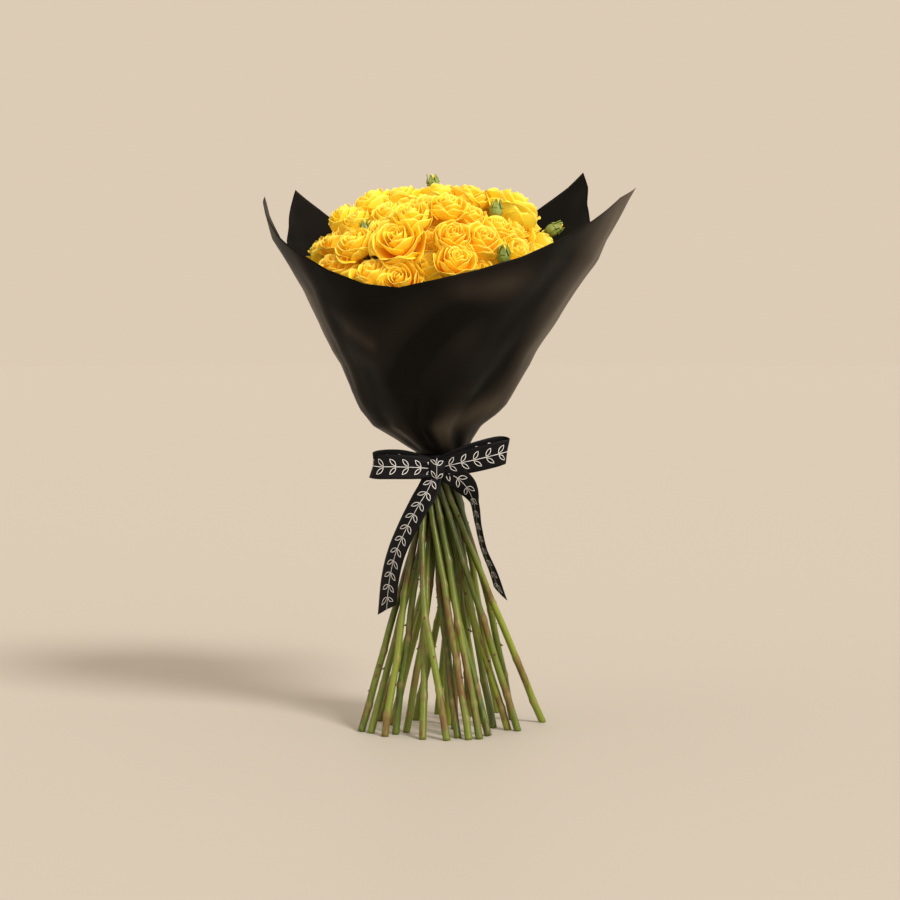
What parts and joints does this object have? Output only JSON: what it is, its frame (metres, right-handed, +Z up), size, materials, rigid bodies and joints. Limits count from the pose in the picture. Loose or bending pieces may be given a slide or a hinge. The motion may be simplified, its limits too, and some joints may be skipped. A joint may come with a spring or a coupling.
{
  "type": "wrapped bunch of roses",
  "caption": "Hand-tied bunch of yellow spray roses in dark film, closed by a patterned ribbon bow, standing on its splayed cut stems.",
  "frame": {"origin": "on the surface that the cut stem ends stand on, under the middle of the bunch's outline", "axes": "+Z up along the bunch, front with the bow's knot towards -Y, +X to the right seen from the front"},
  "size_m": [0.3681, 0.2916, 0.5611],
  "materials": {
    "petals": "satin",
    "green": "satin",
    "twine": "matte",
    "film": "satin",
    "ribbon": "satin"
  },
  "bodies": {
    "root": {"spray_01_stem": "green", "spray_01_blooms": "petals", "spray_02_stem": "green", "spray_02_blooms": "petals", "spray_03_stem": "green", "spray_03_blooms": "petals", "spray_04_stem": "green", "spray_04_blooms": "petals", "spray_05_stem": "green", "spray_05_blooms": "petals", "spray_06_stem": "green", "spray_06_blooms": "petals", "spray_07_stem": "green", "spray_07_blooms": "petals", "spray_08_stem": "green", "spray_08_blooms": "petals", "spray_09_stem": "green", "spray_09_blooms": "petals", "spray_10_stem": "green", "spray_10_blooms": "petals", "spray_11_stem": "green", "spray_11_blooms": "petals", "spray_12_stem": "green", "spray_12_blooms": "petals", "spray_13_stem": "green", "spray_13_blooms": "petals", "spray_14_stem": "green", "spray_14_blooms": "petals", "spray_15_stem": "green", "spray_15_blooms": "petals", "spray_16_stem": "green", "spray_16_blooms": "petals", "spray_17_stem": "green", "spray_17_blooms": "petals", "spray_18_stem": "green", "spray_18_blooms": "petals", "spray_19_stem": "green", "spray_19_blooms": "petals", "spray_20_stem": "green", "spray_20_blooms": "petals", "spray_21_stem": "green", "spray_21_blooms": "petals", "spray_22_stem": "green", "spray_22_blooms": "petals", "spray_23_stem": "green", "spray_23_blooms": "petals", "spray_24_stem": "green", "spray_24_blooms": "petals", "spray_25_stem": "green", "spray_25_blooms": "petals", "binding_twine": "twine", "film_back": "film", "film_front": "film", "ribbon_bow": "ribbon"}
  },
  "joints": []
}
